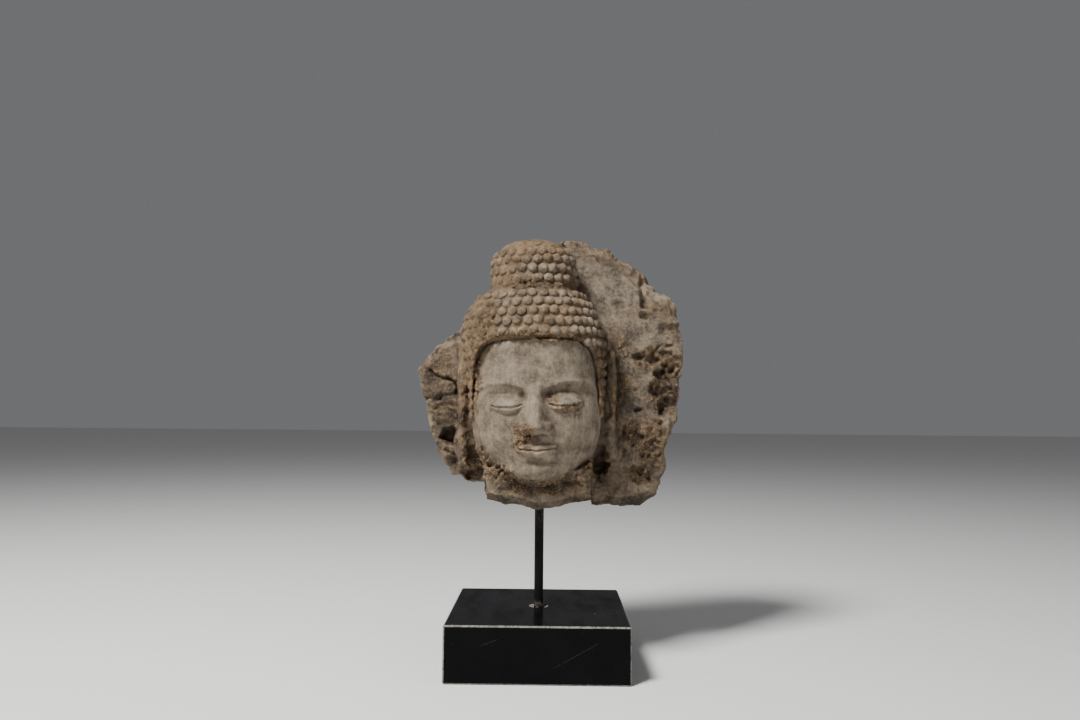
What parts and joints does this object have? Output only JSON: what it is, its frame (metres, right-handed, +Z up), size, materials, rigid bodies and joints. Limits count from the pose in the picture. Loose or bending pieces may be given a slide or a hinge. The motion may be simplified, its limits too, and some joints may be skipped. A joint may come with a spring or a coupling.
{
  "type": "carved stone head on a stand",
  "caption": "Carved limestone Buddha head in high relief on a broken slab of halo, held by a steel rod in a square black stone plinth.",
  "frame": {"origin": "middle of the plinth's underside", "axes": "+Z up, +X to the right of someone facing the carved face, the face looks along -Y"},
  "size_m": [0.2402, 0.1507, 0.3743],
  "materials": {
    "black_stone": "polished",
    "black_steel": "satin",
    "limestone": "weathered, matt"
  },
  "bodies": {
    "root": {"plinth": "black_stone", "support_rod": "black_steel", "stone_head": "limestone"}
  },
  "joints": []
}
